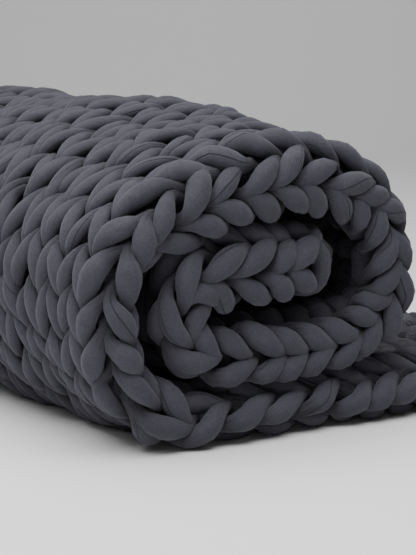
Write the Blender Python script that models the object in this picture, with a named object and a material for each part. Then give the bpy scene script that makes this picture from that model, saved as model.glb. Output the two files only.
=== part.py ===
"""Weighted blanket: a chunky stockinette panel of thick tube yarn, rolled up on the floor.

Metres, +Z up. The roll's axis runs along Y, its photographed end at -Y. Origin at the bottom centre.
"""

import math

import bpy
import bmesh
import numpy as np

# The cloth: one knitted panel
COURSE = 0.0425  # one row of stitches, along the strip that is rolled
COURSES = 42
WALE = 0.0436  # one column of stitches, across the strip
FLAT_WALES = 22  # between the two wales that bend round the side edges
WIDTH = 1.020  # from one side edge to the other, the roll's length
HALF = 0.027  # half the thickness of the cloth where layers rest on each other
EDGE_FLAT = 0.0304  # from the end of the roll to the outermost flat wale

# The raised stitches on the knit side, from the middle of the cloth
LEG_TOP = 0.0300
LEG_NECK = 0.0225
LEG_MEET = 0.0215
GAP_DEEP = 0.0160
PURL_DIP = 0.0045  # between the ridges of two courses on the purl side
LIP = 0.012  # how far the first and last edge round out

# The strip's middle line in the roll's section, from the free tail on the floor to the core.
# curl: how far the side edge is rolled to the purl side (0 flat on the floor, 1 free)
# tuck: how far the edge's last leg is folded in behind it
# middle_mm: how much further out the cloth stands along the roll than at its two ends
# hump_mm: how much further still where the hump is highest
ROLL_LINE = (
    # x_mm, z_mm, curl, tuck, middle_mm, hump_mm
    (545, 27, 0.0, 0.0, 0, 0),
    (450, 27, 0.0, 0.0, 0, 0),
    (330, 27, 0.0, 0.0, 0, 0),
    (210, 27, 0.0, 0.0, 0, 0),
    (110, 27, 0.0, 0.0, 0, 0),
    (50, 27, 0.0, 0.0, 0, 0),
    (3, 28, 0.2, 0.0, -2, 0),
    (-31, 45, 0.6, 0.4, -8, 0),
    (-57, 76, 0.9, 0.9, -9, 0),
    (-70, 115, 1.0, 1.0, -6, 0),
    (-73, 156, 1.0, 1.0, 0, 0),
    (-66, 196, 1.0, 1.0, 4, 1),
    (-43, 233, 1.0, 0.7, 7, 4),
    (-6, 260, 1.0, 0.2, 9, 8),
    (36, 280, 1.0, 0.0, 10, 12),
    (82, 293, 1.0, 0.0, 11, 15),
    (126, 300, 1.0, 0.0, 11, 16),
    (170, 300, 1.0, 0.0, 10, 16),
    (212, 292, 1.0, 0.0, 8, 13),
    (252, 273, 0.9, 0.0, 5, 8),
    (283, 243, 0.8, 0.0, 2, 3),
    (301, 205, 0.7, 0.0, 0, 0),
    (305, 165, 0.6, 0.0, 0, 0),
    (295, 127, 0.4, 0.0, 0, 0),
    (268, 101, 0.2, 0.0, 0, 0),
    (228, 89, 0.1, 0.0, 0, 0),
    (180, 86, 0.0, 0.0, 0, 0),
    (130, 86, 0.0, 0.0, 0, 0),
    (80, 86, 0.0, 0.0, 0, 0),
    (42, 92, 0.1, 0.0, -6, 0),
    (13, 112, 0.2, 0.0, -14, 0),
    (1, 146, 0.3, 0.0, -12, 0),
    (10, 180, 0.5, 0.0, -5, 0),
    (33, 200, 0.8, 0.0, 0, 0),
    (62, 206, 0.9, 0.0, 0, 0),
    (98, 205, 0.9, 0.0, 0, 0),
    (141, 205, 0.85, 0.0, 0, 0),
    (196, 204, 0.6, 0.0, 0, 0),
)
# Where courses of the knitting come along the line: pulled wider round bends, bunched up elsewhere
PULL = (
    # course, place in plain courses
    (0.0, 0.0),
    (6.5, 6.5),
    (8.5, 8.4),
    (13.5, 14.5),
    (17.5, 18.3),
    (19.5, 20.5),
    (33.5, 33.7),
    (38.0, 39.5),
    (40.0, 41.6),
    (42.0, 42.9),
)
# The edge wale's two legs, flat on the floor and fully curled: distance from the middle of the cloth
OUTER_LEG = (0.012, -0.010)
INNER_LEG = (-0.016, -0.036)
TUCK_IN = 0.016  # how much further in from the roll's end a tucked inner leg lies
TUCK_UP = 0.012  # and how much nearer to the middle of the cloth
MIDDLE_FROM = 0.36  # half the length over which the middle shape holds
MIDDLE_TO = 0.46  # and where the shape of the ends begins
# How much of the hump there is along the roll: a loose fold of the outer turn, and a small one beyond it
HUMP = (
    # y_m, share
    (-0.34, 0.00),
    (-0.30, 0.35),
    (-0.25, 0.75),
    (-0.20, 1.00),
    (-0.14, 0.78),
    (-0.10, 0.60),
    (-0.05, 0.28),
    (0.01, 0.22),
    (0.09, 0.50),
    (0.14, 0.50),
    (0.19, 0.20),
    (0.34, 0.00),
)

# The stretch whose knit side is open to view, in courses from the tail
OPEN_FROM = 11
OPEN_TO = 31


def roll_spine():
    """Points (x, z) and the other columns along the middle line, half a course apart, and at its end."""
    keys = np.array(ROLL_LINE, float) * (0.001, 0.001, 1.0, 1.0, 0.001, 0.001)
    keys = np.vstack([2 * keys[0] - keys[1], keys, 2 * keys[-1] - keys[-2]])
    fine = []
    for i in range(1, len(keys) - 2):
        p0, p1, p2, p3 = keys[i - 1 : i + 3]
        t1 = np.linalg.norm(p1[:2] - p0[:2]) ** 0.5
        t2 = t1 + np.linalg.norm(p2[:2] - p1[:2]) ** 0.5
        t3 = t2 + np.linalg.norm(p3[:2] - p2[:2]) ** 0.5
        for t in np.linspace(t1, t2, 24, endpoint=False):
            a1 = (t1 - t) / t1 * p0 + t / t1 * p1
            a2 = (t2 - t) / (t2 - t1) * p1 + (t - t1) / (t2 - t1) * p2
            a3 = (t3 - t) / (t3 - t2) * p2 + (t - t2) / (t3 - t2) * p3
            b1 = (t2 - t) / t2 * a1 + t / t2 * a2
            b2 = (t3 - t) / (t3 - t1) * a2 + (t - t1) / (t3 - t1) * a3
            fine.append((t2 - t) / (t2 - t1) * b1 + (t - t1) / (t2 - t1) * b2)
    fine.append(keys[-2])
    fine = np.array(fine)
    along = np.concatenate([[0], np.cumsum(np.linalg.norm(np.diff(fine[:, :2], axis=0), axis=1))])
    courses = np.arange(2 * COURSES + 1) / 2
    at = np.append(np.interp(courses, *np.array(PULL).T) * COURSE, along[-1])
    line = np.stack([np.interp(at, along, column) for column in fine.T], axis=1)
    line[:, 1] = np.maximum(line[:, 1], HALF)
    line[:, 2:4] = np.clip(line[:, 2:4], 0, 1)
    return line


def stand_out(y, middle, hump):
    """How far out the cloth stands at a place along the roll, easing from its ends to its middle."""
    ease = min(1.0, max(0.0, (MIDDLE_TO - abs(y)) / (MIDDLE_TO - MIDDLE_FROM)))
    return middle * ease * ease * (3 - 2 * ease) + hump * np.interp(y, *np.array(HUMP).T)


def knit_side(step):
    """(y, n) of one row of the knit side: four points a wale, the legs raised, the gaps low."""
    left = -WIDTH / 2 + EDGE_FLAT
    if not 2 * OPEN_FROM - 1 <= step <= 2 * OPEN_TO + 1:
        return [(left, HALF), (-left, HALF)]
    on_leg, off_leg = (LEG_TOP, GAP_DEEP) if step % 2 == 0 else (LEG_NECK, LEG_MEET)
    if not 2 * OPEN_FROM <= step <= 2 * OPEN_TO:
        on_leg = off_leg = HALF  # the plain row before and after the raised stitches
    return [(left + c * WALE / 4, on_leg if c % 2 else off_leg) for c in range(4 * FLAT_WALES + 1)]


def edge_side(step, curl, tuck):
    """(distance in from the roll's end, n) round one side edge, from the knit side to the purl side."""
    outer = OUTER_LEG[0] + curl * (OUTER_LEG[1] - OUTER_LEG[0])
    inner = INNER_LEG[0] + curl * (INNER_LEG[1] - INNER_LEG[0]) + tuck * TUCK_UP
    outer_dent, inner_dent = (0.004, 0.0) if step % 2 == 0 else (0.0, 0.004)
    inner_dent += tuck * TUCK_IN
    return (
        (0.014, min(HALF, outer + 0.0155)),
        (outer_dent, outer + 0.003),
        (0.0075, (outer + inner) / 2),
        (inner_dent, inner - 0.002),
        (0.014 + tuck * TUCK_IN / 2, inner - 0.0135 + tuck * 0.004),
        (EDGE_FLAT + 0.006, -HALF + (PURL_DIP if step % 2 else 0.0)),
    )


def ring(step, line):
    """The four sides of one ring of points (y, n) round the strip: knit, far edge, purl, near edge."""
    curl, tuck, middle, hump = line[step, 2:]
    knit = knit_side(step)
    edge = edge_side(step, curl, tuck)
    far = [(WIDTH / 2 - inset, n) for inset, n in edge]
    near = [(-WIDTH / 2 + inset, n) for inset, n in reversed(edge)]
    purl = []
    if len(knit) > 2:
        ease_stops = (MIDDLE_TO, (MIDDLE_FROM + MIDDLE_TO) / 2, MIDDLE_FROM)
        stops = [*ease_stops, *(-y for y in ease_stops), *(y for y, share in HUMP)]
        purl = [(y, edge[-1][1]) for y in sorted(stops, reverse=True)]
    return [[(y, n + stand_out(y, middle, hump)) for y, n in side] for side in (knit, far, purl, near)]


def join_rows(bm, a, b, slant):
    """Triangles between two rows of points that run the same way, whatever their counts."""
    i = j = 0
    while i < len(a) - 1 or j < len(b) - 1:
        if len(a) == len(b):
            step_a = i == j if not slant(min(i, j)) else i < j
        else:
            step_a = j == len(b) - 1 or (
                i < len(a) - 1 and (i + 1) * (len(b) - 1) <= (j + 1) * (len(a) - 1)
            )
        if step_a:
            bm.faces.new((a[i], b[j], a[i + 1]))
            i += 1
        else:
            bm.faces.new((a[i], b[j], b[j + 1]))
            j += 1


def build_panel():
    line = roll_spine()
    heading = np.gradient(line[:, :2], axis=0)
    heading /= np.linalg.norm(heading, axis=1)[:, None]
    out = np.stack([-heading[:, 1], heading[:, 0]], axis=1)  # towards the knit side
    middle_x = (line[:, 0].max() + LIP + line[:, 0].min() - LEG_TOP) / 2

    bm = bmesh.new()
    rings = []

    def add_ring(sides, at, step):
        def vert(y, n):
            x, z = at + out[step] * n
            return bm.verts.new((x - middle_x, y, max(0.0, z)))

        rings.append([[vert(y, n) for y, n in side] for side in sides])

    def add_lip(step, way):
        """The strip's first or last edge, rounded out beyond its last full ring."""
        sides = [[(y - math.copysign(LIP / 2, y), n * 0.6) for y, n in side] for side in ring(step, line)]
        add_ring(sides, line[step, :2] + way * LIP * heading[step], step)

    add_lip(0, -1)
    for step in range(len(line)):
        add_ring(ring(step, line), line[step, :2], step)
    add_lip(len(line) - 1, 1)

    for a, b in zip(rings, rings[1:]):
        # The ridge of a leg climbs away from the middle of its wale
        join_rows(bm, a[0], b[0], lambda i: i % 4 >= 2)
        join_rows(bm, a[0][-1:] + a[1], b[0][-1:] + b[1], lambda i: True)
        join_rows(bm, a[1][-1:] + a[2] + a[3][:1], b[1][-1:] + b[2] + b[3][:1], lambda i: True)
        join_rows(bm, a[3] + a[0][:1], b[3] + b[0][:1], lambda i: True)
    bm.faces.new([vert for side in rings[0] for vert in side])
    bm.faces.new([vert for side in reversed(rings[-1]) for vert in reversed(side)])
    bmesh.ops.recalc_face_normals(bm, faces=bm.faces)
    if bm.calc_volume(signed=True) < 0:
        bmesh.ops.reverse_faces(bm, faces=bm.faces)
    bmesh.ops.triangulate(bm, faces=bm.faces)
    mesh = bpy.data.meshes.new("knitted_blanket")
    bm.to_mesh(mesh)
    bm.free()
    return mesh


for old in list(bpy.data.objects):
    bpy.data.objects.remove(old, do_unlink=True)

slate = bpy.data.materials.new("slate_tube_yarn")
slate.use_nodes = True
slate.diffuse_color = (0.075, 0.078, 0.090, 1.0)
shader = slate.node_tree.nodes["Principled BSDF"]
shader.inputs["Base Color"].default_value = (0.075, 0.078, 0.090, 1.0)
shader.inputs["Roughness"].default_value = 0.9

blanket = bpy.data.objects.new("knitted_blanket", build_panel())
blanket.data.materials.append(slate)
bpy.context.scene.collection.objects.link(blanket)
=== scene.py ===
import math

import bmesh
import bpy
import numpy as np
from mathutils import Euler, Matrix


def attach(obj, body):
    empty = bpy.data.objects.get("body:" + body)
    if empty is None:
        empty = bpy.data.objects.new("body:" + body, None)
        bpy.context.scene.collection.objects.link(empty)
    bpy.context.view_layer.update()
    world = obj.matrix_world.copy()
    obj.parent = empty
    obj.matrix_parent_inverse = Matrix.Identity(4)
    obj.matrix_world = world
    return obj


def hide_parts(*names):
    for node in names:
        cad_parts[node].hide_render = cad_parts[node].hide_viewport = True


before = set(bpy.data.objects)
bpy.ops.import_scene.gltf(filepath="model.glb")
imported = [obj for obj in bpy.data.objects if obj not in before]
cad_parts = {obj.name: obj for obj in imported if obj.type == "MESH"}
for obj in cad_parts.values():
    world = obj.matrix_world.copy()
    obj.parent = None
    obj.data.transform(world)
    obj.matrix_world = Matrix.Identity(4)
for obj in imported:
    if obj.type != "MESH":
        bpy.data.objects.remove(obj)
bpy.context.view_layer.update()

# The knitted panel: one hand-knit piece of stockinette, worked from a single thick strand, a jersey tube
# packed with filling. Every course is the same strand going across or back, its loops drawn through the
# course before. It is rolled up from its last course, knit side out, its first courses flat on the floor

COURSE = 0.0425
COURSES = 43
WALE = 0.0436
FLAT_WALES = 22  # and one more on each side, bent round the side edge
WALES = FLAT_WALES + 2
HALF = 0.027  # half the cloth's thickness
LIP = 0.012  # how far the free end's edge stands past the first course
KNIT_HEIGHT = 0.0300  # of the knit side, off the middle of the cloth
WIDTH = 1.020

# The middle line of the cloth in the roll's section, from the free end on the floor to the core. curl: how
# far the side edge is curled to the purl side there, or -1 where it lies on the floor; tuck: how far its last
# leg is folded out of sight. middle_mm: how much further out the cloth stands along the roll than at its two
# ends; hump_mm: how much further still where the hump is highest
ROLL_LINE = (
    # x_mm, z_mm, curl, tuck, middle_mm, hump_mm
    (545, 27, -1.0, 0.0, 0, 0),
    (450, 27, -1.0, 0.0, 0, 0),
    (330, 27, -1.0, 0.0, 0, 0),
    (210, 27, -1.0, 0.0, 0, 0),
    (110, 27, -1.0, 0.0, 0, 0),
    (50, 27, -1.0, 0.0, 0, 0),
    (3, 28, 0.2, 0.0, -2, 0),
    (-31, 45, 0.6, 0.4, -8, 0),
    (-57, 76, 0.9, 0.9, -9, 0),
    (-70, 115, 1.0, 1.0, -6, 0),
    (-73, 156, 1.0, 1.0, 0, 0),
    (-66, 196, 1.0, 1.0, 4, 1),
    (-43, 233, 1.0, 0.7, 7, 4),
    (-6, 260, 1.0, 0.2, 9, 8),
    (36, 280, 1.0, 0.0, 10, 12),
    (82, 293, 1.0, 0.0, 11, 15),
    (126, 300, 1.0, 0.0, 11, 16),
    (170, 300, 1.0, 0.0, 10, 16),
    (212, 292, 1.0, 0.0, 8, 13),
    (252, 273, 0.9, 0.0, 5, 8),
    (283, 243, 0.8, 0.0, 2, 3),
    (301, 205, 0.7, 0.0, 0, 0),
    (305, 165, 0.6, 0.0, 0, 0),
    (295, 127, 0.4, 0.0, 0, 0),
    (268, 101, 0.2, 0.0, 0, 0),
    (228, 89, 0.1, 0.0, 0, 0),
    (180, 86, 0.0, 0.0, 0, 0),
    (130, 86, 0.0, 0.0, 0, 0),
    (80, 86, 0.0, 0.0, 0, 0),
    (42, 92, 0.1, 0.0, -6, 0),
    (13, 112, 0.2, 0.0, -14, 0),
    (1, 146, 0.3, 0.0, -12, 0),
    (10, 180, 0.5, 0.0, -5, 0),
    (33, 200, 0.8, 0.0, 0, 0),
    (62, 206, 0.9, 0.0, 0, 0),
    (98, 205, 0.9, 0.0, 0, 0),
    (141, 205, 0.85, 0.0, 0, 0),
    (196, 204, 0.6, 0.0, 0, 0),
)
# Where courses of the knitting come along the line: pulled wider round bends, bunched up elsewhere
PULL = (
    # course, place in plain courses
    (0.0, 0.0),
    (6.5, 6.5),
    (8.5, 8.4),
    (13.5, 14.5),
    (17.5, 18.3),
    (19.5, 20.5),
    (29.0, 29.8),
    (33.5, 33.7),
    (36.2, 36.1),
    (39.0, 39.5),
    (41.0, 41.6),
    (43.0, 42.9),
)
MIDDLE_HOLDS = 0.36  # metres from the middle of the roll over which the middle shape holds
MIDDLE_ENDS = 0.46  # and where the shape of the ends begins
# How much of the hump there is along the roll: a loose fold of the outer turn, and a small one beyond it
HUMP = (
    # y_m, share
    (-0.34, 0.00),
    (-0.30, 0.35),
    (-0.25, 0.75),
    (-0.20, 1.00),
    (-0.14, 0.78),
    (-0.10, 0.60),
    (-0.05, 0.28),
    (0.01, 0.22),
    (0.09, 0.50),
    (0.14, 0.50),
    (0.19, 0.20),
    (0.34, 0.00),
)


def smooth_line(keys, ends, steps):
    """A centripetal Catmull-Rom line through the keys, `ends` of their columns being places."""
    keys = np.vstack([2 * keys[0] - keys[1], keys, 2 * keys[-1] - keys[-2]])
    gap = np.linalg.norm(np.diff(keys[:, :ends], axis=0), axis=1)[:, None] ** 0.5
    p0, p1, p2, p3 = (keys[i : len(keys) - 3 + i, None] for i in range(4))
    t1, t2, t3 = gap[:-2, None], gap[:-2, None] + gap[1:-1, None], (gap[:-2] + gap[1:-1] + gap[2:])[:, None]
    t = t1 + (t2 - t1) * np.linspace(0, 1, steps, endpoint=False)[None, :, None]
    a1 = (t1 - t) / t1 * p0 + t / t1 * p1
    a2 = (t2 - t) / (t2 - t1) * p1 + (t - t1) / (t2 - t1) * p2
    a3 = (t3 - t) / (t3 - t2) * p2 + (t - t2) / (t3 - t2) * p3
    b1 = (t2 - t) / t2 * a1 + t / t2 * a2
    b2 = (t3 - t) / (t3 - t1) * a2 + (t - t1) / (t3 - t1) * a3
    fine = (t2 - t) / (t2 - t1) * b1 + (t - t1) / (t2 - t1) * b2
    return np.vstack([fine.reshape(-1, keys.shape[1]), keys[-2]])


def length_along(points):
    """How far along the line each of its points is."""
    return np.concatenate([[0], np.cumsum(np.linalg.norm(np.diff(points, axis=0), axis=1))])


MM = 0.001
LINE_STEPS = 24  # points from one key of the line to the next
EVEN_POINTS = 400  # and in all, where the line is laid out in even steps
roll_keys = np.array(ROLL_LINE, float) * (MM, MM, 1.0, 1.0, MM, MM)
line = smooth_line(roll_keys, 2, LINE_STEPS)
line[:, 1] = np.maximum(line[:, 1], HALF)
along = length_along(line[:, :2])
cloth_length = along[-1]
middle_x = (roll_keys[0, 0] + LIP + (line[:, 0].min() - KNIT_HEIGHT)) / 2
even = np.linspace(0, cloth_length, EVEN_POINTS)
even_line = np.stack([np.interp(even, along, column) for column in line.T], axis=1)
heading = np.gradient(even_line[:, :2], axis=0)
heading_angle = np.unwrap(np.arctan2(heading[:, 1], heading[:, 0]))

# The wale that bends round the side edge: where its sheet runs and which way its knit side faces. across:
# from the last flat wale; inset: from the roll's end; depth: off the middle of the cloth; turn: degrees from
# facing out of the roll to facing out of its end, and beyond. Four ways: lying between the roll's layers,
# where the purl side swells behind the edge; on the floor; curled; and curled and tucked away
EDGE_LYING = (
    # across, inset, depth, turn
    (-0.0872, 0.1176, 0.0000, 0),
    (-0.0436, 0.0740, -0.0220, 0),
    (-0.0218, 0.0480, -0.0240, 0),
    (-0.0109, 0.0330, -0.0020, 12),
    (0.0109, 0.0275, 0.0100, 75),
    (0.0330, 0.0310, -0.0160, 108),
    (0.0436, 0.0370, -0.0260, 120),
    (0.0560, 0.0480, -0.0330, 120),
)
EDGE_ON_FLOOR = (
    (-0.0872, 0.1176, 0.0000, 0),
    (-0.0436, 0.0740, 0.0000, 0),
    (-0.0218, 0.0430, 0.0000, 0),
    (-0.0109, 0.0280, -0.0010, 15),
    (0.0109, 0.0170, -0.0040, 82),
    (0.0330, 0.0540, -0.0200, 120),
    (0.0436, 0.0620, -0.0210, 150),
    (0.0560, 0.0700, -0.0200, 180),
)
EDGE_CURLED = (
    (-0.0872, 0.1176, 0.0000, 0),
    (-0.0436, 0.0740, 0.0000, 0),
    (-0.0218, 0.0522, -0.0005, 4),
    (-0.0109, 0.0410, 0.0030, 16),
    (0.0109, 0.0260, -0.0170, 55),
    (0.0330, 0.0290, -0.0380, 112),
    (0.0436, 0.0350, -0.0440, 150),
    (0.0560, 0.0450, -0.0430, 180),
)
EDGE_TUCKED = (
    (-0.0872, 0.1176, 0.0000, 0),
    (-0.0436, 0.0740, 0.0000, 0),
    (-0.0218, 0.0522, -0.0005, 4),
    (-0.0109, 0.0410, 0.0030, 16),
    (0.0109, 0.0260, -0.0150, 60),
    (0.0330, 0.0450, -0.0080, 165),
    (0.0436, 0.0550, -0.0070, 178),
    (0.0560, 0.0650, -0.0070, 180),
)


def on_cloth(across, course, height):
    """World points and facing for places on the knit: metres across, courses along, metres high."""
    places = np.array(PULL)
    beyond = course - np.clip(course, places[0, 0], places[-1, 0])
    along_cloth = (np.interp(course, *places.T) + beyond) * COURSE
    s = np.clip(along_cloth, 0, cloth_length)
    x, z, curl, tuck, middle, hump = (np.interp(s, even, column) for column in even_line.T)
    angle = np.interp(s, even, heading_angle)
    forward = np.stack([np.cos(angle), np.sin(angle)], axis=1)
    out = np.stack([-forward[:, 1], forward[:, 0]], axis=1)

    over = np.abs(across) - FLAT_WALES * WALE / 2
    side = np.where(across < 0, -1.0, 1.0)
    on_floor = np.clip(-curl, 0, 1)
    curl = np.clip(curl, 0, 1)
    weights = (1 - curl - on_floor, on_floor, curl * (1 - tuck), curl * tuck)
    inset, depth, turn = (
        sum(
            weight * np.interp(over, np.array(table)[:, 0], np.array(table)[:, k])
            for weight, table in zip(weights, (EDGE_LYING, EDGE_ON_FLOOR, EDGE_CURLED, EDGE_TUCKED))
        )
        for k in (1, 2, 3)
    )
    at_edge = over > EDGE_LYING[0][0]
    y_sheet = np.where(at_edge, side * (WIDTH / 2 - inset), across)
    turn = np.radians(np.where(at_edge, turn, 0.0))
    ease = np.clip((MIDDLE_ENDS - np.abs(y_sheet)) / (MIDDLE_ENDS - MIDDLE_HOLDS), 0, 1)
    ease = ease * ease * (3 - 2 * ease)
    y = y_sheet + side * np.sin(turn) * height
    n = np.where(at_edge, depth, 0.0) + np.cos(turn) * height + middle * ease
    n += hump * np.interp(y_sheet, *np.array(HUMP).T)
    flat = np.stack([x - middle_x, z], axis=1) + out * n[:, None] + forward * (along_cloth - s)[:, None]
    facing = np.stack([out[:, 0] * np.cos(turn), side * np.sin(turn), out[:, 1] * np.cos(turn)], axis=1)
    return np.stack([flat[:, 0], y, flat[:, 1]], axis=1), facing


STRAND = 0.0158  # radius of the filled tube where nothing presses it

# Hand knitting is uneven over several stitches: slow waves that shift them across, along and out
WAVES = 10
SHIFT = (0.0016, 0.0020, 0.0010)  # metres a wave
WAVE_TURNS = (0.5, 2.4)  # slowest and quickest wave, radians a stitch
CALM_WALES = 3  # the waves die down over this many wales before the side edges
CALMEST = 0.35
waves = np.random.default_rng(3)
wave_turns = waves.uniform(*WAVE_TURNS, (WAVES, 2)) * waves.choice((-1, 1), (WAVES, 2))
wave_starts = waves.uniform(0, 2 * math.pi, (WAVES, 3))


def uneven(across, course):
    """How far a place on the knit is shifted across, along and out."""
    turn = across[:, None] / WALE * wave_turns[:, 0] + course[:, None] * wave_turns[:, 1]
    calm = np.clip((WIDTH / 2 - np.abs(across)) / (CALM_WALES * WALE), CALMEST, 1)
    return np.sin(turn[..., None] + wave_starts).sum(1) * SHIFT * calm[:, None]


# Half a stitch, from the strand between two stitches to the middle of the loop's head: across the wale and up
# the course as parts of a stitch, height off the middle of the cloth, and the strand's width and depth as
# parts of its radius. The last column: how tightly its skin is gathered there, and how much painted shade it
# gets where it dives under other strands. The stitches between the edges are packed upright, those along the
# side edges are slack and slanted
PACKED_HALF = (
    # across, up, height, width, depth, pinch and painted shade
    (0.500, -1.04, -0.78, 1.06, 0.84, 1.0),
    (0.240, -1.02, -0.72, 1.02, 0.80, 1.0),
    (0.060, -0.92, -0.38, 0.88, 0.48, 1.0),
    (0.020, -0.76, 0.50, 0.32, 0.38, 0.9),
    (0.060, -0.56, 1.00, 0.46, 0.44, 0.4),
    (0.160, -0.22, 1.24, 0.64, 0.50, 0.0),
    (0.270, 0.08, 1.26, 0.66, 0.50, 0.1),
    (0.380, 0.36, 1.12, 0.52, 0.46, 0.5),
    (0.465, 0.62, 0.74, 0.32, 0.40, 0.9),
    (0.455, 0.78, 0.00, 0.62, 0.44, 1.0),
    (0.320, 0.98, -0.70, 1.02, 0.78, 1.0),
)
SLACK_HALF = (
    # across, up, height, width, depth, pinch and painted shade
    (0.500, -1.06, -0.80, 1.10, 0.86, 0.3),
    (0.220, -1.04, -0.76, 1.06, 0.84, 0.5),
    (0.040, -0.92, -0.30, 0.90, 0.62, 1.0),
    (0.020, -0.76, 0.56, 0.46, 0.52, 0.8),
    (0.070, -0.46, 1.04, 0.60, 0.58, 0.3),
    (0.190, -0.10, 1.14, 0.82, 0.70, 0.0),
    (0.320, 0.22, 1.12, 0.74, 0.66, 0.2),
    (0.420, 0.50, 0.94, 0.48, 0.54, 0.7),
    (0.470, 0.72, 0.50, 0.44, 0.54, 1.0),
    (0.330, 1.00, -0.72, 1.00, 0.84, 1.0),
)
HEAD = (0.0, 1.08, -0.78, 1.06, 0.84, 1.0)
# the heads of the edge loops are less pinched, and get less painted shade
EDGE_HEAD_PINCH_AND_SHADE = 0.3
FIRST_UP = -0.35  # in courses: the casting on draws in whatever would lie further out
# How unevenly the legs of the loops are drawn, each as the spread of a normal draw
LEG_SLANT = 0.13
LEG_ACROSS = 0.03  # stitches
LEG_LENGTH = 0.06
LEG_UP = 0.06  # courses
LEG_HEIGHT = 0.06  # radii of the strand
LEG_GIRTH = 0.06
OUTER_KEY = 0.45  # keys further across than this tie a stitch to the next and stay in place


def loops_of_course(course, hand):
    """Keys of one course's strand in cloth measures, from one side edge to the other."""
    keys = []
    for wale in range(WALES):
        middle = (wale - (WALES - 1) / 2) * WALE
        for side in (-1, 1):
            at_edge = wale in (0, WALES - 1) or (wale, side) in ((1, -1), (WALES - 2, 1))
            leg = np.array(SLACK_HALF if at_edge else PACKED_HALF)
            if side > 0:
                leg = leg[::-1][: None if wale == WALES - 1 else -1]
            leg = leg.copy()
            inner = np.abs(leg[:, 0]) < OUTER_KEY
            leg[:, 0] *= side * np.where(inner, 1 + LEG_SLANT * hand.standard_normal(), 1)
            leg[:, 0] += np.where(inner, LEG_ACROSS * hand.standard_normal(), 0)
            leg[:, 1] *= 1 + LEG_LENGTH * hand.standard_normal()
            leg[:, 1] += LEG_UP * hand.standard_normal()
            leg[:, 2] += LEG_HEIGHT * hand.standard_normal()
            leg[:, 3:5] *= 1 + LEG_GIRTH * hand.standard_normal()
            keys.append(
                np.column_stack(
                    [
                        middle + leg[:, 0] * WALE,
                        np.maximum(course + 0.5 + leg[:, 1], FIRST_UP),
                        leg[:, 2:5] * STRAND,
                        leg[:, 5],
                    ]
                )
            )
            if side < 0:
                pinch_and_shade = EDGE_HEAD_PINCH_AND_SHADE if at_edge else HEAD[5]
                head = (middle, course + 0.5 + HEAD[1], *(v * STRAND for v in HEAD[2:5]), pinch_and_shade)
                keys.append(np.array([head]))
    return np.vstack(keys)


# The chain that begins and ends the knitting, link by link along the edge: along it, across its face and out
# of the cloth's edge as parts of a stitch
CHAIN_LINK = (
    # along, across, out
    (-0.55, -0.10, -0.05),
    (-0.15, -0.28, 0.30),
    (0.35, -0.34, 0.28),
    (0.75, -0.26, 0.00),
    (0.92, 0.00, -0.12),
    (0.75, 0.26, 0.00),
    (0.35, 0.34, 0.28),
    (-0.15, 0.28, 0.30),
    (-0.55, 0.10, -0.05),
    (-0.35, 0.00, -0.45),
    (0.15, 0.00, -0.50),
)
LAST_LINK_KEYS = 9  # the last link joins no other, and ends sooner
CHAIN_FLATTENED = 0.7  # across its face
CHAIN_GIRTH = (0.72, 0.84)  # width and depth, in radii of the strand
# how pinched the chain is, and how much painted shade it gets
CHAIN_PINCH_AND_SHADE = 0.4


def chain_edge(at, way):
    """Keys of the chain along the first or last edge, ending at the photographed end of the roll."""
    width, depth = (part * STRAND for part in CHAIN_GIRTH)
    keys = []
    for link in range(WALES):
        for along_edge, across_face, outward in CHAIN_LINK[: LAST_LINK_KEYS if link == WALES - 1 else None]:
            place = ((WALES - 1) / 2 - link - along_edge) * WALE
            height = CHAIN_FLATTENED * across_face * WALE
            keys.append((place, at + way * outward, height, width, depth, CHAIN_PINCH_AND_SHADE))
    return np.array(keys)


KEY_SCALE = np.array((1, COURSE, 1, 1, 1, 1))  # of the columns of keys, courses to metres
STRAND_STEPS = 4  # points from one key of the strand to the next
RING_STEP = 0.0084
SIDES = 12
END_ROUND = 0.6 * STRAND  # the length over which a cut end rounds off
END_GIRTH = 0.05  # and what is left of it at the tip


def strand_tube(keys, mesh_parts):
    """Adds one run of strand through the keys: rings of points, closed at both ends."""
    fine = smooth_line(keys * KEY_SCALE, 3, STRAND_STEPS) / KEY_SCALE
    shift = uneven(fine[:, 0], fine[:, 1])
    shift[:, 1] /= COURSE
    world, facing = on_cloth(*(fine[:, :3] + shift).T)
    run = length_along(world)
    count = int(run[-1] / RING_STEP)
    at = np.linspace(0, run[-1], count)
    world, facing, fine = (
        np.stack([np.interp(at, run, column) for column in values.T], axis=1)
        for values in (world, facing, fine)
    )
    tangent = np.gradient(world, axis=0)
    tangent /= np.linalg.norm(tangent, axis=1)[:, None]
    up = facing - tangent * (facing * tangent).sum(1)[:, None]
    up /= np.linalg.norm(up, axis=1)[:, None]
    side = np.cross(tangent, up)
    turn = np.arange(SIDES) * 2 * math.pi / SIDES
    ends = np.sqrt(np.minimum(1, np.minimum(at, run[-1] - at) / END_ROUND + END_GIRTH))
    ring = (
        world[:, None]
        + up[:, None] * (np.cos(turn) * (fine[:, 4] * ends)[:, None])[..., None]
        + side[:, None] * (np.sin(turn) * (fine[:, 3] * ends)[:, None])[..., None]
    )
    ring[..., 2] = np.maximum(ring[..., 2], 0.0)  # flat where it rests on the floor
    start = sum(len(part[0]) for part in mesh_parts)
    i = np.arange(count - 1)[:, None] * SIDES + start
    j = np.arange(SIDES)[None, :]
    quads = np.stack([i + j, i + (j + 1) % SIDES, i + SIDES + (j + 1) % SIDES, i + SIDES + j], axis=-1)
    u = np.stack([j, j + 1, j + 1, j], axis=-1) / SIDES + np.zeros_like(i)[..., None]
    v = np.stack([at[:-1], at[:-1], at[1:], at[1:]], axis=-1)[:, None] + np.zeros_like(j)[..., None]
    pinch_and_shade = np.repeat(fine[:, 5], SIDES)
    uv = np.stack([u, v], axis=-1)
    mesh_parts.append((ring.reshape(-1, 3), quads.reshape(-1, 4), uv.reshape(-1, 2), pinch_and_shade))


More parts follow.
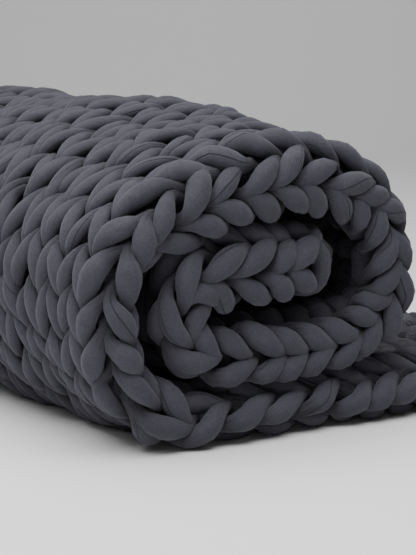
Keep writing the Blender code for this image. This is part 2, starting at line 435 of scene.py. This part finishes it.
def knit_piece(name, mesh_parts):
    """One object of the runs of strand, their ends closed."""
    verts, quads, uvs, pinch_and_shade = (np.concatenate(arrays) for arrays in zip(*mesh_parts))
    mesh = bpy.data.meshes.new(name)
    mesh.vertices.add(len(verts))
    mesh.vertices.foreach_set("co", verts.ravel())
    mesh.loops.add(quads.size)
    mesh.loops.foreach_set("vertex_index", quads.ravel())
    mesh.polygons.add(len(quads))
    mesh.polygons.foreach_set("loop_start", np.arange(0, quads.size, 4))
    mesh.polygons.foreach_set("use_smooth", np.ones(len(quads), bool))
    mesh.uv_layers.new(name="strand").data.foreach_set("uv", uvs.ravel())
    # how pinched the strand's skin is, which the yarn's shader also turns into painted shade
    mesh.attributes.new("pinch_and_shade", "FLOAT", "POINT").data.foreach_set("value", pinch_and_shade)
    mesh.update()
    mesh.validate()
    bm = bmesh.new()
    bm.from_mesh(mesh)
    bmesh.ops.holes_fill(bm, edges=bm.edges, sides=0)
    bm.to_mesh(mesh)
    bm.free()
    mesh.materials.append(yarn)
    piece = bpy.data.objects.new(name, mesh)
    bpy.context.scene.collection.objects.link(piece)
    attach(piece, "root")
    return piece


# The jersey of the tube, in metres: its stitches round and along, the filling's lumps, folds and the seam
JERSEY_WALES = 36
JERSEY_ROUND = 0.0017
JERSEY_DEPTH = 0.00016
LUMPS_A_METRE = 48
LUMP_DEPTH = 0.0032
FOLDS_ROUND = 2.6
FOLDS_A_METRE = 24
FOLD_LINE = 0.05  # half the width of a fold, in its noise
CREASE_DEPTH = 0.0012
SEAM_WANDER = 16.0  # radians
SEAM_WANDERS_A_METRE = 2.6
SEAM_LINE = (0.9955, 0.9995)  # cosines of the turns at the seam's outer edges and at its bottom
SEAM_DEPTH = 0.0007
CREASED = (0.15, 0.95)  # pinch at which the creases begin and are full
SHADED = (0.20, 1.00)  # and the shade
GRAIN_A_METRE = 620
HEATHER_A_METRE = 30
NOISE_SPREAD = (0.3, 0.7)  # least and most of a noise
# Brightness of the yarn: from the darkest to the palest, or where it is darkest; in the creases and where the
# strand is pinched, that darkening is painted shade
GRAIN_TINT = (0.84, 1.16)
HEATHER_TINT = (0.94, 1.06)
CREASE_PAINTED_SHADE = 0.62
SEAM_TINT = 0.5
SHADED_TINT = 0.55


def jersey_skin():
    """What the tube's skin shows: fine jersey, a seam, creases where it is pinched, lumps of filling, and
    painted shade in the creases and where the strand is pinched.
    """
    tree = bpy.data.node_groups.new("jersey_skin", "ShaderNodeTree")
    tree.interface.new_socket("Yarn", in_out="INPUT", socket_type="NodeSocketColor")
    tree.interface.new_socket("Colour", in_out="OUTPUT", socket_type="NodeSocketColor")
    tree.interface.new_socket("Normal", in_out="OUTPUT", socket_type="NodeSocketVector")

    def fill(socket, value):
        if isinstance(value, bpy.types.NodeSocket):
            tree.links.new(value, socket)
        else:
            socket.default_value = value

    def calc(operation, *values):
        node = tree.nodes.new("ShaderNodeMath")
        node.operation = operation
        for socket, value in zip(node.inputs, values):
            fill(socket, value)
        return node.outputs[0]

    def joined(x, y, z):
        node = tree.nodes.new("ShaderNodeCombineXYZ")
        for socket, value in zip(node.inputs, (x, y, z)):
            fill(socket, value)
        return node.outputs[0]

    def noise(vector, scale, detail):
        node = tree.nodes.new("ShaderNodeTexNoise")
        fill(node.inputs["Vector"], vector)
        node.inputs["Scale"].default_value = scale
        node.inputs["Detail"].default_value = detail
        return node.outputs["Fac"]

    def ranged(value, low, high, to_low, to_high):
        node = tree.nodes.new("ShaderNodeMapRange")
        node.interpolation_type = "SMOOTHSTEP"
        fill(node.inputs["Value"], value)
        fill(node.inputs["From Min"], low)
        fill(node.inputs["From Max"], high)
        fill(node.inputs["To Min"], to_low)
        fill(node.inputs["To Max"], to_high)
        return node.outputs["Result"]

    strand_uv = tree.nodes.new("ShaderNodeUVMap")
    strand_uv.uv_map = "strand"
    parts = tree.nodes.new("ShaderNodeSeparateXYZ")
    fill(parts.inputs[0], strand_uv.outputs[0])
    turn = calc("MULTIPLY", parts.outputs["X"], 2 * math.pi)
    metres = parts.outputs["Y"]
    pinch_and_shade = tree.nodes.new("ShaderNodeAttribute")
    pinch_and_shade.attribute_name = "pinch_and_shade"
    place = tree.nodes.new("ShaderNodeTexCoord").outputs["Object"]

    # the jersey's own stitches, in wales and rounds of the tube
    ribs = calc("SINE", calc("MULTIPLY", turn, JERSEY_WALES))
    rounds = calc("SINE", calc("MULTIPLY", metres, 2 * math.pi / JERSEY_ROUND))
    stitches = calc("MULTIPLY", calc("MULTIPLY", ribs, rounds), JERSEY_DEPTH)
    lumps = calc("MULTIPLY", noise(place, LUMPS_A_METRE, 2), LUMP_DEPTH)
    # folds run along the strand, so their noise is drawn out that way
    fold_x = calc("MULTIPLY", calc("COSINE", turn), FOLDS_ROUND)
    fold_y = calc("MULTIPLY", calc("SINE", turn), FOLDS_ROUND)
    fold_z = calc("MULTIPLY", metres, FOLDS_A_METRE)
    folds = noise(joined(fold_x, fold_y, fold_z), 1.0, 2)
    fold_line = ranged(calc("ABSOLUTE", calc("SUBTRACT", folds, 0.5)), 0.0, FOLD_LINE, 1.0, 0.0)
    gathered = ranged(pinch_and_shade.outputs["Fac"], *CREASED, 0.0, 1.0)
    creases = calc("MULTIPLY", fold_line, gathered)
    # the tube's seam, which wanders round the strand
    wander = calc("MULTIPLY", noise(joined(metres, 0.0, 0.0), SEAM_WANDERS_A_METRE, 1), SEAM_WANDER)
    seam = ranged(calc("COSINE", calc("SUBTRACT", turn, wander)), *SEAM_LINE, 0.0, 1.0)
    sunk = calc("ADD", calc("MULTIPLY", creases, CREASE_DEPTH), calc("MULTIPLY", seam, SEAM_DEPTH))
    height = calc("SUBTRACT", calc("ADD", stitches, lumps), sunk)

    # tint: the fabric's grain and heather, the dark seam, and painted shade in the creases and where the
    # strand is pinched and dives under other strands
    grain = ranged(noise(place, GRAIN_A_METRE, 2), *NOISE_SPREAD, *GRAIN_TINT)
    heather = ranged(noise(place, HEATHER_A_METRE, 3), *NOISE_SPREAD, *HEATHER_TINT)
    # painted shade in the creases
    painted_crease_shade = ranged(creases, 0.0, 1.0, 1.0, CREASE_PAINTED_SHADE)
    in_seam = ranged(seam, 0.0, 1.0, 1.0, SEAM_TINT)
    crease_shade_and_seam = calc("MULTIPLY", painted_crease_shade, in_seam)
    # painted shade where the strand is pinched and dives out of sight
    painted_hidden_shade = ranged(pinch_and_shade.outputs["Fac"], *SHADED, 1.0, SHADED_TINT)
    # the yarn's grain and heather, times the painted shade
    shade = calc("MULTIPLY", calc("MULTIPLY", grain, heather), calc("MULTIPLY", crease_shade_and_seam, painted_hidden_shade))

    entry = tree.nodes.new("NodeGroupInput")
    tinted = tree.nodes.new("ShaderNodeVectorMath")
    tinted.operation = "SCALE"
    fill(tinted.inputs["Vector"], entry.outputs["Yarn"])
    fill(tinted.inputs["Scale"], shade)
    bump = tree.nodes.new("ShaderNodeBump")
    bump.inputs["Distance"].default_value = 1.0
    fill(bump.inputs["Height"], height)
    leave = tree.nodes.new("NodeGroupOutput")
    fill(leave.inputs["Colour"], tinted.outputs["Vector"])
    fill(leave.inputs["Normal"], bump.outputs["Normal"])
    return tree


SLATE = (0.046, 0.045, 0.057, 1.0)
PALE_FUZZ = (0.80, 0.80, 0.90, 1.0)

yarn = bpy.data.materials.new("slate_tube_yarn")
yarn.use_nodes = True
skin = yarn.node_tree.nodes.new("ShaderNodeGroup")
skin.node_tree = jersey_skin()
skin.inputs["Yarn"].default_value = SLATE
shader = yarn.node_tree.nodes["Principled BSDF"]
shader.inputs["Roughness"].default_value = 0.9
shader.inputs["Specular IOR Level"].default_value = 0.25
shader.inputs["Sheen Weight"].default_value = 0.12
shader.inputs["Sheen Roughness"].default_value = 0.4
shader.inputs["Sheen Tint"].default_value = PALE_FUZZ
yarn.node_tree.links.new(skin.outputs["Colour"], shader.inputs["Base Color"])
yarn.node_tree.links.new(skin.outputs["Normal"], shader.inputs["Normal"])

# Back and forth, course by course, in pieces of a few courses. Each piece runs on into the first two keys of
# the next, so that no gap shows where they meet
PIECE_COURSES = 8
CAST_ON_AT = 0.15
BIND_OFF_AT = COURSES - 0.05

hand = np.random.default_rng(7)
strand = []
for course in range(COURSES):
    loops = loops_of_course(course, hand)
    strand.append(loops if course % 2 else loops[::-1])
for first in range(0, COURSES, PIECE_COURSES):
    last = min(first + PIECE_COURSES, COURSES)
    parts = []
    strand_tube(np.vstack(strand[first:last] + [loops[:2] for loops in strand[last : last + 1]]), parts)
    if first == 0:
        strand_tube(chain_edge(CAST_ON_AT, -1), parts)
    if last == COURSES:
        strand_tube(chain_edge(BIND_OFF_AT, 1), parts)
    piece = knit_piece(f"knit_courses_{first + 1}_to_{last}", parts)
    if first == 0:
        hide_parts("knitted_blanket")

# The floor and the backdrop: one plain sheet of pale painted board, flat under the blanket and swept up
# behind it in a quarter round, square to the camera's view. It isn't part of the blanket
VIEW_TURN = math.radians(34)
SWEEP_NEAR = -4.0
SWEEP_FAR = 2.6
SWEEP_ROUND = 1.2
SWEEP_ROUND_STEPS = 12
SWEEP_TOP = 4.0
SWEEP_WIDE = 5.0

bm = bmesh.new()
near = bm.verts.new((-SWEEP_WIDE, SWEEP_NEAR, 0))
far = bm.verts.new((-SWEEP_WIDE, SWEEP_FAR, 0))
bm.edges.new((near, far))
swept = bmesh.ops.spin(
    bm,
    geom=[far],
    cent=(-SWEEP_WIDE, SWEEP_FAR, SWEEP_ROUND),
    axis=(1, 0, 0),
    angle=math.pi / 2,
    steps=SWEEP_ROUND_STEPS,
)
foot = next(part for part in swept["geom_last"] if isinstance(part, bmesh.types.BMVert))
raised = bmesh.ops.extrude_vert_indiv(bm, verts=[foot])["verts"]
bmesh.ops.translate(bm, vec=(0, 0, SWEEP_TOP - SWEEP_ROUND), verts=raised)
drawn = bmesh.ops.extrude_edge_only(bm, edges=bm.edges[:])["geom"]
across_sweep = [part for part in drawn if isinstance(part, bmesh.types.BMVert)]
bmesh.ops.translate(bm, vec=(2 * SWEEP_WIDE, 0, 0), verts=across_sweep)
bmesh.ops.rotate(bm, cent=(0, 0, 0), matrix=Matrix.Rotation(-VIEW_TURN, 3, "Z"), verts=bm.verts)
bmesh.ops.recalc_face_normals(bm, faces=bm.faces)
bmesh.ops.reverse_faces(bm, faces=bm.faces)  # up, and towards the camera
for face in bm.faces:
    face.smooth = True
sweep_mesh = bpy.data.meshes.new("sweep")
bm.to_mesh(sweep_mesh)
bm.free()
sweep = bpy.data.objects.new("sweep", sweep_mesh)
bpy.context.scene.collection.objects.link(sweep)
paint = bpy.data.materials.new("pale_paint")
paint.use_nodes = True
painted = paint.node_tree.nodes["Principled BSDF"]
painted.inputs["Base Color"].default_value = (0.78, 0.78, 0.78, 1)
painted.inputs["Roughness"].default_value = 0.7
sweep_mesh.materials.append(paint)

# Studio light: a large soft box overhead, a fill from the left, a weak one in front that reaches into the
# roll, one for the backdrop, and a dim surround
world = bpy.data.worlds.new("studio")
bpy.context.scene.world = world
world.use_nodes = True
surround = world.node_tree.nodes["Background"]
surround.inputs["Color"].default_value = (1.0, 1.0, 1.0, 1)
surround.inputs["Strength"].default_value = 0.03
for name, watts, size, place, turn in (
    ("overhead", 185, 3.4, (-0.8, -0.5, 2.3), (0, 0, 0)),
    ("fill", 14, 1.3, (-2.6, -1.7, 1.9), (58, 0, -57)),
    ("front", 7, 1.2, (-1.9, -3.2, 0.9), (78, 0, -31)),
    ("backdrop", 14, 2.0, (1.9, 2.3, 2.6), (50, 0, -34)),
):
    light = bpy.data.lights.new(name, "AREA")
    light.energy = watts
    light.size = size
    lamp = bpy.data.objects.new(name, light)
    lamp.location = place
    lamp.rotation_euler = Euler([math.radians(v) for v in turn])
    bpy.context.scene.collection.objects.link(lamp)

# The camera, as in the photograph: low in front of the roll's near end, to the left of it, and far enough
# away for a long lens
camera = bpy.data.cameras.new("camera")
camera.lens = 123.2
camera.sensor_width = 36
camera_object = bpy.data.objects.new("camera", camera)
camera_object.location = (-1.286, -2.126, 0.501)
camera_object.rotation_euler = Euler((math.radians(80.81), 0, -VIEW_TURN))
bpy.context.scene.collection.objects.link(camera_object)
bpy.context.scene.camera = camera_object
